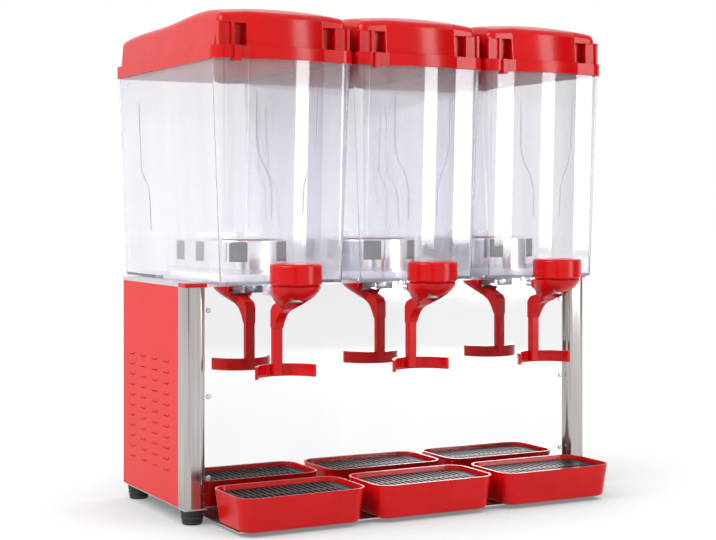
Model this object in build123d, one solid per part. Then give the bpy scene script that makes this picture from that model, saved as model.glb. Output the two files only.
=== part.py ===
from build123d import *
import math
import os

# Refrigerated juice dispenser with three clear tanks on one cooled base cabinet.
# Millimetres. +X is the viewer's right, +Y is the back, +Z is up. The origin is on the table,
# below the middle of the whole machine.

os.makedirs("parts", exist_ok=True)

# Cabinet
PITCH = 207.0
TANK_XS = [-PITCH, 0.0, PITCH]
CABINET_W = 650.0
CABINET_BACK_Y = 141.5
POST_FRONT_Y = -101.5
POST_BACK_Y = -76.5
PANEL_FRONT_Y = -90.0
SHEET = 1.5
FOOT_H = 20.0
FOOT_R = 16.0
FOOT_INSET = 17.0
PAN_FLOOR = 2.0
PAN_LIP = 22.0
DECK_TOP_Z = 322.0
DECK_T = 5.0
HALF_W = CABINET_W / 2
PANEL_BACK_Y = PANEL_FRONT_Y + SHEET
REAR_Y = CABINET_BACK_Y - SHEET
DECK_Z = DECK_TOP_Z - DECK_T
PAN_TOP_Z = FOOT_H + PAN_FLOOR
INNER_HALF_W = HALF_W - SHEET

# Posts and their caps
POST_W = 31.0
POST_R = 9.0
CAP_BLOCK_H = 5.5
POST_INNER_X = HALF_W - POST_W
POST_TOP_Z = DECK_TOP_Z - CAP_BLOCK_H

# Air slots in the side panels, each under a pressed hood
SLOT_L = 20.0
SLOT_H = 1.1
SLOT_PITCH = 14.7
SLOT_FIRST_Z = 66.0
SLOT_FIRST_Y = POST_BACK_Y + 35.5
SLOT_STEP_Y = 45.0
HOOD_H = 3.6
HOOD_D = 0.8
SLOT_ROWS = int((DECK_Z - SLOT_FIRST_Z - 90) / SLOT_PITCH) + 1
SLOT_COLUMNS = int((CABINET_BACK_Y - SLOT_FIRST_Y - SLOT_L) / SLOT_STEP_Y) + 1

# Tanks
TANK_H = 304.0
TANK_RIM_Z = DECK_TOP_Z + TANK_H
TANK_WALL = 3.0
TANK_FLOOR = 4.0
TANK_HALF_W = PITCH / 2 - 2.85
TANK_FRONT_Y = -168.5
TANK_BACK_Y = 227.0
TANK_DRAFT = 11.6
TANK_CORNER_R = 18.0
BULGE_HALF = 54.0
BULGE_DEPTH = 11.0

# Lids: a flange over the tank's rim and a crown that rises to the front
LID_FIT = 0.5
LID_WALL = 2.0
LID_LAP = 9.0
LID_FLANGE_H = 17.0
LID_BACK_H = 54.5
LID_FRONT_H = 64.5
LID_BROW_H = 42.5
LID_CROWN = 10.0
LID_INSET = 6.0
LID_TAPER = 6.0
LID_SHELL = 2.5
LID_ROUND = 11.0
LID_ROOF_T = 6.5
NOTCH_D = 17.0
NOTCH_SHALLOW = 8.0
NOTCH_BAND = 16.5
RIB_T = 4.0
RIB_STEP = 18.0
CLIP_W = 8.0
CLIP_T = 4.0
CLIP_DROP = 4.0
LID_SKIRT_Z = TANK_RIM_Z - LID_LAP
LID_OUT = LID_FIT + LID_WALL

# Cooling drums and stirring
DRUM_Y = 24.0
DRUM_W = 120.0
DRUM_L = 220.0
DRUM_H = 58.0
DRUM_WALL = 2.0
DRUM_TOP_Z = DECK_TOP_Z + DRUM_H
SEAL_T = 6.0
SEAL_H = 9.0
SEAL_FIT = 0.5
COLLAR_T = 3.0
COLLAR_H = 16.0
PIVOT_R = 3.0
PIVOT_H = 9.0
RUNNING = 0.08
STIR_R = 46.0
STIR_H = 7.0
STIR_GAP = 0.3
MOTOR_R = 32.0
MOTOR_H = 55.0
SHAFT_R = 3.0
SHAFT_L = 40.0

# Taps: a body moulded under the tank's front, a sprung plunger and a swinging lever
VALVE_Y = TANK_FRONT_Y - 23
HINGE_Y = VALVE_Y + 25
HINGE_Z = DECK_TOP_Z - 10
PIN_R = 2.5
PIN_SINK = 4.0
TAP_HALF_W = 14.0
TAP_BACK_Y = TANK_FRONT_Y + 48
TAP_BOTTOM_Z = DECK_TOP_Z - 17
TAP_TOP_Z = DECK_TOP_Z + 4
NOZZLE_R = 11.0
NOZZLE_TIP_Z = DECK_TOP_Z - 23
BORE_R = 9.0
SEAT_R = 5.0
SEAT_Z = DECK_TOP_Z - 16
CHANNEL_Z = DECK_TOP_Z - 9
CHANNEL_R = 6.0
PLUNGER_FIT = 0.4
CAP_R = 34.5
CAP_Y = VALVE_Y - 3.5
CAP_BACK_Y = VALVE_Y + 17.5
CAP_TOP_Z = DECK_TOP_Z + 27.5
CAP_BAND_Z = DECK_TOP_Z - 2
CAP_SKIN = 3.4
CAP_ROUND = 4.0
BOWL_LOW_Z = DECK_TOP_Z - 33
BOWL_LEAN = 26.0
BAND_CHAMFER = 4.0
CHEEK_IN = TAP_HALF_W + 0.8
CHEEK_T = 5.7
CHEEK_OUT = CHEEK_IN + CHEEK_T
BOSS_R = 7.0
HEAD_Z = CAP_TOP_Z - CAP_SKIN - 6.6
SPRING_WIRE_R = 0.8
SPRING_R = 10.5
SPRING_TURNS = 3.0
STEM_Y = VALVE_Y + 56
STEM_HALF_W = 7.0
STEM_HALF_D = 5.5
NECK_HALF_W = 7.0
NECK_Z = DECK_TOP_Z - 60
PADDLE_Z = DECK_TOP_Z - 125
PADDLE_H = 16.5
PADDLE_R = 44.0
PADDLE_T = 4.0
PADDLE_TIP_X = 42.5
STEM_FRONT_Y = STEM_Y - STEM_HALF_D
STEM_BACK_Y = STEM_Y + STEM_HALF_D

# Drip trays on a shelf in front of the cabinet
TRAY_PITCH = 200.0
TRAY_XS = [-TRAY_PITCH, 0.0, TRAY_PITCH]
TRAY_HALF_W = 93.0
TRAY_BACK_Y = POST_FRONT_Y - 6
TRAY_DEPTH = 107.5
TRAY_Z = 6.0
TRAY_H = 46.0
TRAY_WALL = 2.5
TRAY_DRAFT = 7.0
TRAY_R = 24.0
PEG_R = 4.0
GRILLE_DROP = 8.0
GRILLE_T = 2.0
GRILLE_GAP = 1.5
GRILLE_SLOT_W = 4.0
GRILLE_SLOT_STEP = 8.5
TRAY_FRONT_Y = TRAY_BACK_Y - TRAY_DEPTH
TRAY_MID_Y = (TRAY_FRONT_Y + TRAY_BACK_Y) / 2
TRAY_TOP_Z = TRAY_Z + TRAY_H
GRILLE_Z = TRAY_TOP_Z - GRILLE_DROP

# Refrigeration, placed from the cabinet's sides
COMPRESSOR_X = HALF_W - 175
COMPRESSOR_Y = (POST_BACK_Y + CABINET_BACK_Y) / 2
COMPRESSOR_R = 62.0
COMPRESSOR_H = 150.0
MOUNT_H = 18.0
MOUNT_R = 11.0
CONDENSER_T = 36.0
CONDENSER_X = -INNER_HALF_W + 27.5
FIN_T = 1.5
FIN_STEP = 8.5
FIN_COUNT = 20
PIPE_R = 3.5
PIPE_BEND = 12.0
FAN_R = 78.0
FAN_X = CONDENSER_X + CONDENSER_T + 28
FAN_Y = COMPRESSOR_Y
FAN_Z = 160.0
FAN_MOTOR_R = 24.0

# Rear controls, placed from the right side
CONTROL_Z = DECK_Z - 67
SWITCH_XS = [HALF_W - 115, HALF_W - 70]
SWITCH_HALF_W = 6.5
SWITCH_HALF_H = 11.5
KNOB_X = HALF_W - 215
KNOB_R = 16.0
SPINDLE_R = 3.0
GLAND_X = HALF_W - 50
GLAND_Z = FOOT_H + 50
GLAND_R = 9.0
GLAND_BORE_R = 5.0


def save(shape, node):
    """Write one node; a list becomes one compound of separate solids."""
    if isinstance(shape, (list, tuple)):
        shape = Compound(children=list(shape))
    shape.label = node
    export_step(shape, f"parts/{node}.step")


def block(x0, x1, y0, y1, z0, z1):
    """Box between two corners."""
    box = Box(x1 - x0, y1 - y0, z1 - z0, align=(Align.MIN, Align.MIN, Align.MIN))
    return Pos(x0, y0, z0) * box


def rod(x, y, z0, z1, r):
    """Upright cylinder."""
    return Pos(x, y, z0) * Cylinder(r, z1 - z0, align=(Align.CENTER, Align.CENTER, Align.MIN))


def rod_x(x0, x1, y, z, r):
    """Cylinder along X."""
    turn = Rot(0, 90, 0) * Cylinder(r, x1 - x0, align=(Align.CENTER, Align.CENTER, Align.MIN))
    return Pos(x0, y, z) * turn


def rod_y(x, y0, y1, z, r):
    """Cylinder along Y."""
    turn = Rot(-90, 0, 0) * Cylinder(r, y1 - y0, align=(Align.CENTER, Align.CENTER, Align.MIN))
    return Pos(x, y0, z) * turn


def side_slab(points, x0, x1):
    """Outline given as (y, z) points, drawn out from x0 to x1."""
    outline = make_face(Polyline(*[(x0, y, z) for y, z in points], close=True))
    return extrude(outline, amount=x1 - x0, dir=(1, 0, 0))


def upright_slot(x, y, width, length, z0, z1):
    """Block with half-round ends, long along Y."""
    plan = Pos(x, y, z0) * Rot(0, 0, 90) * SlotOverall(length, width)
    return extrude(plan, amount=z1 - z0, dir=(0, 0, 1))


def both_sides(near, far):
    """The same span left and right of the middle, each as a sorted pair."""
    return [(-far, -near), (near, far)]


def tank_plan(x, z, grow):
    """Plan of a tank at height z: round corners and a bulged middle of the front. grow widens it."""
    half = TANK_HALF_W + grow
    front = TANK_FRONT_Y - grow
    back = TANK_BACK_Y + grow
    r = TANK_CORNER_R + grow
    k = r * (1 - math.sqrt(0.5))
    crest = front - BULGE_DEPTH
    edges = [
        Line((x - half, front + r, z), (x - half, back - r, z)),
        ThreePointArc((x - half, back - r, z), (x - half + k, back - k, z), (x - half + r, back, z)),
        Line((x - half + r, back, z), (x + half - r, back, z)),
        ThreePointArc((x + half - r, back, z), (x + half - k, back - k, z), (x + half, back - r, z)),
        Line((x + half, back - r, z), (x + half, front + r, z)),
        ThreePointArc((x + half, front + r, z), (x + half - k, front + k, z), (x + half - r, front, z)),
        Line((x + half - r, front, z), (x + BULGE_HALF, front, z)),
        ThreePointArc((x + BULGE_HALF, front, z), (x, crest, z), (x - BULGE_HALF, front, z)),
        Line((x - BULGE_HALF, front, z), (x - half + r, front, z)),
        ThreePointArc((x - half + r, front, z), (x - half + k, front + k, z), (x - half, front + r, z)),
    ]
    return make_face(edges)


def tank_grow(z):
    """Inward draft of the tank wall at height z."""
    return -TANK_DRAFT * (TANK_RIM_Z - z) / TANK_H


# Base pan: floor with an upturned edge and an ear under each post.
pan = block(-INNER_HALF_W, INNER_HALF_W, POST_BACK_Y, REAR_Y, FOOT_H, FOOT_H + PAN_LIP)
pan -= block(
    -INNER_HALF_W + PAN_FLOOR, INNER_HALF_W - PAN_FLOOR, POST_BACK_Y + PAN_FLOOR, REAR_Y - PAN_FLOOR,
    PAN_TOP_Z, FOOT_H + 2 * PAN_LIP,
)
for near, far in both_sides(POST_INNER_X, HALF_W):
    pan += block(near, far, POST_FRONT_Y, POST_BACK_Y, FOOT_H, PAN_TOP_Z)
pan += block(-POST_INNER_X, POST_INNER_X, PANEL_FRONT_Y, POST_BACK_Y, FOOT_H, PAN_TOP_Z)
save(pan, "base_pan")

# Feet: four soft pads under the corners.
feet = []
for fx in (-HALF_W + FOOT_INSET, HALF_W - FOOT_INSET):
    for fy in (POST_FRONT_Y + FOOT_INSET, CABINET_BACK_Y - FOOT_INSET - SHEET):
        pad = Cone(FOOT_R - 2, FOOT_R, FOOT_H, align=(Align.CENTER, Align.CENTER, Align.MIN))
        feet.append(Pos(fx, fy, 0) * pad)
save(feet, "feet")

# Posts: rounded stainless tubes at the two front corners.
for side, name in ((-1, "post_left"), (1, "post_right")):
    plan = Rectangle(POST_W, POST_BACK_Y - POST_FRONT_Y)
    front_corners = plan.vertices().sort_by(Axis.Y)[:2]
    plan = fillet(front_corners, POST_R)
    hollow = offset(plan, amount=-SHEET)
    middle = Pos(side * (HALF_W - POST_W / 2), (POST_FRONT_Y + POST_BACK_Y) / 2, PAN_TOP_Z)
    post = extrude(middle * plan, amount=POST_TOP_Z - PAN_TOP_Z, dir=(0, 0, 1))
    post -= extrude(middle * hollow, amount=POST_TOP_Z - PAN_TOP_Z, dir=(0, 0, 1))
    save(post, name)

# Corner caps: red end blocks that close the posts level with the deck.
caps = []
for near, far in both_sides(POST_INNER_X, HALF_W):
    caps.append(block(near, far, POST_FRONT_Y - 1, POST_BACK_Y, POST_TOP_Z, DECK_TOP_Z))
save(caps, "corner_caps")

# Polished front panel between the posts.
save(block(-POST_INNER_X, POST_INNER_X, PANEL_FRONT_Y, PANEL_BACK_Y, PAN_TOP_Z, DECK_Z), "front_panel")

# Side panels: painted sheet with columns of short air slots, each under a pressed hood.
for side, name in ((-1, "side_panel_left"), (1, "side_panel_right")):
    near, far = sorted((side * INNER_HALF_W, side * HALF_W))
    sheet = block(near, far, POST_BACK_Y, CABINET_BACK_Y, PAN_TOP_Z, DECK_Z)
    hoods = []
    slots = []
    for column in range(SLOT_COLUMNS):
        y = SLOT_FIRST_Y + column * SLOT_STEP_Y
        for row in range(SLOT_ROWS):
            z = SLOT_FIRST_Z + row * SLOT_PITCH
            face = side * (HALF_W - SHEET / 2)
            lip = side * (HALF_W + HOOD_D)
            outline = Polyline((face, y, z), (lip, y, z), (lip, y, z + SHEET), (face, y, z + HOOD_H), close=True)
            hoods.append(extrude(make_face(outline), amount=SLOT_L, dir=(0, 1, 0)))
            slots.append(block(near - 1, far + 1, y + 1, y + SLOT_L - 1, z - SLOT_H, z))
    save(sheet + hoods - slots, name)

# Rear panel: vented sheet with holes for the controls.
VENT_L = 70.0
VENT_H = 7.0
VENT_PITCH = 20.0
VENT_STEP_X = 90.0
VENT_ROWS = int((DECK_Z - GLAND_Z - 60) / VENT_PITCH) + 1
rear = block(-INNER_HALF_W, INNER_HALF_W, REAR_Y, CABINET_BACK_Y, PAN_TOP_Z, DECK_Z)
vents = []
for column in range(3):
    for row in range(VENT_ROWS):
        x = -HALF_W + 75 + column * VENT_STEP_X
        z = GLAND_Z + row * VENT_PITCH
        vents.append(block(x, x + VENT_L, REAR_Y - 1, CABINET_BACK_Y + 1, z, z + VENT_H))
for x in SWITCH_XS:
    vents.append(
        block(
            x - SWITCH_HALF_W, x + SWITCH_HALF_W, REAR_Y - 1, CABINET_BACK_Y + 1,
            CONTROL_Z - SWITCH_HALF_H, CONTROL_Z + SWITCH_HALF_H,
        )
    )
vents.append(rod_y(KNOB_X, REAR_Y - 1, CABINET_BACK_Y + 1, CONTROL_Z, SPINDLE_R + 2))
vents.append(rod_y(GLAND_X, REAR_Y - 1, CABINET_BACK_Y + 1, GLAND_Z, GLAND_R + 0.3))
save(rear - vents, "rear_panel")

# Deck: plate that closes the cabinet and carries the tanks.
deck = block(-HALF_W, HALF_W, POST_BACK_Y, CABINET_BACK_Y + 2, DECK_Z, DECK_TOP_Z)
deck += block(-POST_INNER_X, POST_INNER_X, POST_FRONT_Y, POST_BACK_Y, DECK_Z, DECK_TOP_Z)
for x in TANK_XS:
    deck -= rod(x, DRUM_Y, DECK_Z - 1, DECK_TOP_Z + 1, SHAFT_R + 9)
save(deck, "deck")

# Tray shelf: bent plate under the cabinet that the drip trays stand on.
SHELF_HALF_W = TRAY_PITCH + TRAY_HALF_W - TRAY_DRAFT
SHELF_BACK_Y = POST_BACK_Y + 8
TONGUE_CLEAR = 6.0
TONGUE_HALF_W = HALF_W - FOOT_INSET - FOOT_R - TONGUE_CLEAR
shelf = block(-SHELF_HALF_W, SHELF_HALF_W, TRAY_MID_Y - 30, POST_FRONT_Y, TRAY_Z - SHEET, TRAY_Z)
shelf += block(-TONGUE_HALF_W, TONGUE_HALF_W, POST_FRONT_Y, SHELF_BACK_Y, TRAY_Z - SHEET, TRAY_Z)
shelf += block(-TONGUE_HALF_W, TONGUE_HALF_W, SHELF_BACK_Y - 2, SHELF_BACK_Y, TRAY_Z - SHEET, FOOT_H)
save(shelf, "tray_shelf")

# Panel screws: pan-head screws on the front panel and on the rear panel.
SCREW_R = 3.5
SCREW_H = 2.0
screws = []
for side in (-1, 1):
    for z in (PAN_TOP_Z + 38, (PAN_TOP_Z + DECK_Z) / 2, DECK_Z - 32):
        screws.append(rod_y(side * (POST_INNER_X - 7), PANEL_FRONT_Y - SCREW_H, PANEL_FRONT_Y, z, SCREW_R))
        screws.append(rod_y(side * (INNER_HALF_W - 11), CABINET_BACK_Y, CABINET_BACK_Y + SCREW_H, z, SCREW_R))
save(screws, "panel_screws")

# Cooling drums: low stainless cups with half-round ends, each with a pivot for its stirrer.
for i, x in enumerate(TANK_XS, 1):
    drum = upright_slot(x, DRUM_Y, DRUM_W, DRUM_L, DECK_TOP_Z, DRUM_TOP_Z)
    drum = fillet(drum.faces().sort_by(Axis.Z)[-1].edges(), 3 * DRUM_WALL)
    drum -= upright_slot(
        x, DRUM_Y, DRUM_W - 2 * DRUM_WALL, DRUM_L - 2 * DRUM_WALL, DECK_TOP_Z - 1, DRUM_TOP_Z - DRUM_WALL
    )
    drum += rod(x, DRUM_Y, DRUM_TOP_Z - DRUM_WALL / 2, DRUM_TOP_Z + PIVOT_H, PIVOT_R)
    save(drum, f"cooling_drum_{i}")

# Drum seals: rubber collars that close each tank's floor round its drum.
seals = []
for x in TANK_XS:
    seal = upright_slot(x, DRUM_Y, DRUM_W + 2 * SEAL_T, DRUM_L + 2 * SEAL_T, DECK_TOP_Z, DECK_TOP_Z + SEAL_H)
    seals.append(seal - upright_slot(x, DRUM_Y, DRUM_W, DRUM_L, DECK_TOP_Z - 1, DECK_TOP_Z + SEAL_H + 1))
save(seals, "drum_seals")

# Evaporators: a copper tube laid to and fro inside each drum, its two ends coming up through the deck.
EVAP_Z = DECK_TOP_Z + 14
EVAP_BEND = 7.0
EVAP_HALF_L = (DRUM_L - DRUM_W) / 2 + 20
EVAP_STEP = DRUM_W / 8
evaporators = []
for x in TANK_XS:
    offsets = [k * EVAP_STEP for k in (-3, -2, -1, 1, 2, 3)]
    points = [(x + offsets[0], DRUM_Y - EVAP_HALF_L, DECK_TOP_Z)]
    for k, offset_x in enumerate(offsets):
        ends = (-EVAP_HALF_L, EVAP_HALF_L) if k % 2 == 0 else (EVAP_HALF_L, -EVAP_HALF_L)
        points += [(x + offset_x, DRUM_Y + end, EVAP_Z) for end in ends]
    points.append((x + offsets[-1], DRUM_Y - EVAP_HALF_L, DECK_TOP_Z))
    path = FilletPolyline(*points, radius=EVAP_BEND)
    section = Plane(origin=path @ 0, z_dir=path % 0) * Circle(PIPE_R)
    evaporators.append(sweep(section, path=path))
print("evaporator pass gap", EVAP_STEP - 2 * PIPE_R)
save(evaporators, "evaporators")

# Stirrers: paddles that turn on the drum's pivot, with a magnet ring in the hub.
for i, x in enumerate(TANK_XS, 1):
    low = DRUM_TOP_Z + STIR_GAP
    stir = rod(x, DRUM_Y, low, low + STIR_H, STIR_R / 3)
    for turn in (0, 180):
        blade = block(0, STIR_R, -2, 2, low + 1, low + STIR_H)
        stir += Pos(x, DRUM_Y, 0) * Rot(0, 0, turn) * blade
    stir -= rod(x, DRUM_Y, low - 1, low + STIR_H + 2, PIVOT_R + RUNNING)
    save(stir, f"stirrer_{i}")

# Stirrer motors: cans hung under the deck.
motors = []
for x in TANK_XS:
    motor = rod(x, DRUM_Y, DECK_Z - MOTOR_H, DECK_Z, MOTOR_R)
    motor += rod(x, DRUM_Y, DECK_Z - MOTOR_H - 8, DECK_Z - MOTOR_H, MOTOR_R / 2)
    motors.append(motor - rod(x, DRUM_Y, DECK_Z - SHAFT_L, DECK_Z + 1, SHAFT_R + RUNNING))
save(motors, "stirrer_motors")

# Magnet rotors: shaft and magnet disc that turn the stirrers through the drum's top.
for i, x in enumerate(TANK_XS, 1):
    disc_z = DRUM_TOP_Z - DRUM_WALL - 10
    rotor = rod(x, DRUM_Y, DECK_Z - SHAFT_L + 0.5, disc_z, SHAFT_R)
    rotor += rod(x, DRUM_Y, disc_z, disc_z + 8, 20)
    rotor += block(x - 28, x + 28, DRUM_Y - 6, DRUM_Y + 6, disc_z + 2, disc_z + 7)
    save(rotor, f"magnet_rotor_{i}")

# Tanks: clear drafted bins with a drum hole in the floor and a tap body under the front.
for i, x in enumerate(TANK_XS, 1):
    floor_z = DECK_TOP_Z + TANK_FLOOR
    hole_w = DRUM_W + 2 * (SEAL_T + SEAL_FIT)
    hole_l = DRUM_L + 2 * (SEAL_T + SEAL_FIT)
    tank = loft([tank_plan(x, DECK_TOP_Z, tank_grow(DECK_TOP_Z)), tank_plan(x, TANK_RIM_Z, 0.0)])
    tank -= loft(
        [tank_plan(x, floor_z, tank_grow(floor_z) - TANK_WALL), tank_plan(x, TANK_RIM_Z + 0.01, -TANK_WALL)]
    )
    tank += upright_slot(x, DRUM_Y, hole_w + 2 * COLLAR_T, hole_l + 2 * COLLAR_T, DECK_TOP_Z, DECK_TOP_Z + COLLAR_H)
    tank -= upright_slot(x, DRUM_Y, hole_w, hole_l, DECK_TOP_Z - 1, DECK_TOP_Z + COLLAR_H + 1)
    tank += block(x - TAP_HALF_W, x + TAP_HALF_W, VALVE_Y, TAP_BACK_Y, TAP_BOTTOM_Z, DECK_TOP_Z + 1)
    tank += rod(x, VALVE_Y, TAP_BOTTOM_Z, TAP_TOP_Z, TAP_HALF_W)
    tank += rod(x, VALVE_Y, NOZZLE_TIP_Z, TAP_BOTTOM_Z + 1, NOZZLE_R)
    tank -= rod(x, VALVE_Y, SEAT_Z + 2, TAP_TOP_Z + 1, BORE_R)
    tank -= rod(x, VALVE_Y, NOZZLE_TIP_Z - 1, SEAT_Z, NOZZLE_R - 2.5)
    tank -= rod(x, VALVE_Y, SEAT_Z - 1, SEAT_Z + 3, SEAT_R)
    tank -= rod_y(x, VALVE_Y, TAP_BACK_Y - CHANNEL_R - 4, CHANNEL_Z, CHANNEL_R)
    tank -= rod(x, TAP_BACK_Y - CHANNEL_R - 4, CHANNEL_Z, floor_z + 1, CHANNEL_R)
    for near, far in both_sides(TAP_HALF_W - PIN_SINK, TAP_HALF_W + 1):
        tank -= rod_x(x + near, x + far, HINGE_Y, HINGE_Z, PIN_R)
    save(tank, f"tank_{i}")

# Tap pins: two short pins in each tap body that the lever swings on.
for i, x in enumerate(TANK_XS, 1):
    pins = []
    for near, far in both_sides(TAP_HALF_W - PIN_SINK, CHEEK_OUT - 0.5):
        pins.append(rod_x(x + near, x + far, HINGE_Y, HINGE_Z, PIN_R))
    save(pins, f"tap_pins_{i}")

# Tap plungers: spring-lifted stems with a valve disc below the seat and a button under the lever's cap.
for i, x in enumerate(TANK_XS, 1):
    plunger = rod(x, VALVE_Y, SEAT_Z - 6, SEAT_Z - 0.3, NOZZLE_R - 3.5)
    plunger += rod(x, VALVE_Y, SEAT_Z - 1, HEAD_Z + 1, SEAT_R - 2)
    plunger += rod(x, VALVE_Y, CHANNEL_Z + CHANNEL_R + 0.5, TAP_TOP_Z - 0.5, BORE_R - PLUNGER_FIT)
    plunger += rod(x, VALVE_Y, HEAD_Z, HEAD_Z + 3, SPRING_R + 0.5)
    plunger += rod(x, VALVE_Y, HEAD_Z + 2.5, HEAD_Z + 6, 4)
    save(plunger, f"tap_plunger_{i}")

# Return springs: one open coil each, between the tap body and the plunger's head.
SPRING_LOW = TAP_TOP_Z + SPRING_WIRE_R + 0.05
SPRING_HIGH = HEAD_Z - SPRING_WIRE_R - 0.05
SPRING_PITCH = (SPRING_HIGH - SPRING_LOW) / SPRING_TURNS
for i, x in enumerate(TANK_XS, 1):
    path = Pos(x, VALVE_Y, SPRING_LOW) * Helix(SPRING_PITCH, SPRING_HIGH - SPRING_LOW, SPRING_R)
    section = Plane(origin=path @ 0, z_dir=path % 0) * Circle(SPRING_WIRE_R)
    save(sweep(section, path=path, is_frenet=True), f"tap_spring_{i}")
print("spring turn gap", SPRING_PITCH - 2 * SPRING_WIRE_R)


def lever_cap():
    """Round cap, chamfered below and flat at the back, over a bowl that leans back to the neck."""
    shoulder = (CAP_R, 0, CAP_TOP_Z - CAP_ROUND)
    crown = (CAP_R - CAP_ROUND, 0, CAP_TOP_Z)
    k = CAP_ROUND * (1 - math.sqrt(0.5))
    low = (CAP_R - BAND_CHAMFER, 0, CAP_BAND_Z)
    side = (CAP_R, 0, CAP_BAND_Z + BAND_CHAMFER)
    edges = [
        Line((0, 0, CAP_BAND_Z), low),
        Line(low, side),
        Line(side, shoulder),
        ThreePointArc(shoulder, (CAP_R - k, 0, CAP_TOP_Z - k), crown),
        Line(crown, (0, 0, CAP_TOP_Z)),
        Line((0, 0, CAP_TOP_Z), (0, 0, CAP_BAND_Z)),
    ]
    band = Pos(0, CAP_Y, 0) * revolve(make_face(edges), Axis.Z, 360)
    band -= block(-CAP_R - 1, CAP_R + 1, CAP_BACK_Y, CAP_Y + CAP_R + 1, CAP_BAND_Z - 1, CAP_TOP_Z + 1)
    depth = CAP_BAND_Z - BOWL_LOW_Z
    rings = []
    for down, wide, lean in ((0.0, 1.0, 0.0), (0.35, 0.9, 0.25), (0.7, 0.62, 0.62), (1.0, 0.28, 1.0)):
        place = Pos(0, CAP_Y + lean * BOWL_LEAN, CAP_BAND_Z - down * depth)
        rings.append(place * Circle(wide * (CAP_R - 1.5)))
    bowl = loft(rings)
    return band + bowl


def lever_neck():
    """Curved arm from under the bowl back to the top of the stem."""
    x = -NECK_HALF_W
    under = [
        (x, CAP_Y + 14, BOWL_LOW_Z + 6), (x, CAP_Y + 22, BOWL_LOW_Z), (x, HINGE_Y + 8, BOWL_LOW_Z - 6),
        (x, STEM_FRONT_Y - 6, BOWL_LOW_Z - 17), (x, STEM_FRONT_Y, NECK_Z),
    ]
    over = [
        under[-1], (x, STEM_BACK_Y, NECK_Z), (x, STEM_BACK_Y, BOWL_LOW_Z - 4), (x, STEM_BACK_Y - 6, BOWL_LOW_Z + 3),
        (x, HINGE_Y + 14, BOWL_LOW_Z + 9), (x, HINGE_Y, BOWL_LOW_Z + 14), (x, CAP_Y + 14, BOWL_LOW_Z + 14), under[0],
    ]
    outline = make_face([Spline(*under)] + list(Polyline(*over).edges()))
    return extrude(outline, amount=2 * NECK_HALF_W, dir=(1, 0, 0))


def lever_paddle():
    """Crescent that a cup pushes, with a shallow recess near each end of its hollow face."""
    centre_y = STEM_BACK_Y - PADDLE_T / 2 - PADDLE_R
    high = PADDLE_Z + PADDLE_H
    ring = rod(0, centre_y, PADDLE_Z, high, PADDLE_R + PADDLE_T / 2)
    ring -= rod(0, centre_y, PADDLE_Z - 1, high + 1, PADDLE_R - PADDLE_T / 2)
    tip_y = centre_y + math.sqrt(PADDLE_R ** 2 - PADDLE_TIP_X ** 2)
    ring &= block(-PADDLE_R - PADDLE_T, PADDLE_R + PADDLE_T, tip_y, 0, PADDLE_Z - 1, high + 1)
    recess = rod(0, centre_y, PADDLE_Z + PADDLE_T, high - PADDLE_T, PADDLE_R - PADDLE_T / 4)
    for near, far in both_sides(0.4 * PADDLE_TIP_X, 0.9 * PADDLE_TIP_X):
        ring -= recess & block(near, far, centre_y, 0, PADDLE_Z, high)
    return ring


def tap_lever():
    """One lever about x = 0: cap, bowl, neck, stem and paddle in one moulding, hollow round the tap body."""
    body = lever_cap() + lever_neck()
    ceiling = CAP_TOP_Z - CAP_SKIN
    above = CAP_TOP_Z + 50
    clear = [
        (VALVE_Y - 26, ceiling), (VALVE_Y - 26, TAP_BOTTOM_Z + 10), (VALVE_Y - 17, NOZZLE_TIP_Z + 5),
        (HINGE_Y + 8, NOZZLE_TIP_Z), (TAP_BACK_Y, NOZZLE_TIP_Z - 10.5), (TAP_BACK_Y, above),
        (CAP_BACK_Y + 1, above), (CAP_BACK_Y + 1, ceiling),
    ]
    body -= side_slab(clear, -CHEEK_IN, CHEEK_IN)
    pocket = rod(0, CAP_Y, TAP_TOP_Z - 1, ceiling, CAP_R - CAP_SKIN)
    arm = [
        (HINGE_Y - 26, HINGE_Z - 8), (HINGE_Y - 1, HINGE_Z - BOSS_R), (HINGE_Y - 1, HINGE_Z + BOSS_R),
        (HINGE_Y - 26, HINGE_Z + 8),
    ]
    for near, far in both_sides(CHEEK_OUT, CAP_R):
        body -= pocket & block(near, far, CAP_Y - CAP_R, CAP_BACK_Y + 1, TAP_TOP_Z - 1, ceiling)
    for near, far in both_sides(CHEEK_IN, CHEEK_OUT):
        body += rod_x(near, far, HINGE_Y, HINGE_Z, BOSS_R) + side_slab(arm, near, far)
    body -= rod_x(-CAP_R, CAP_R, HINGE_Y, HINGE_Z, PIN_R + RUNNING)
    spout = NOZZLE_R + 1.6
    body -= block(-spout, spout, VALVE_Y - 16, VALVE_Y + 15, BOWL_LOW_Z - 10, SEAT_Z + 10)
    stem = block(-STEM_HALF_W, STEM_HALF_W, STEM_FRONT_Y, STEM_BACK_Y, PADDLE_Z + 2, NECK_Z + 8)
    stem = fillet(stem.edges().filter_by(Axis.Z), STEM_HALF_D / 2)
    return body + stem + lever_paddle()


# Tap levers: each swings on its tap's pins, and pushes the plunger down when a cup pushes the paddle back.
for i, x in enumerate(TANK_XS, 1):
    save(Pos(x, 0, 0) * tap_lever(), f"tap_lever_{i}")


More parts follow.
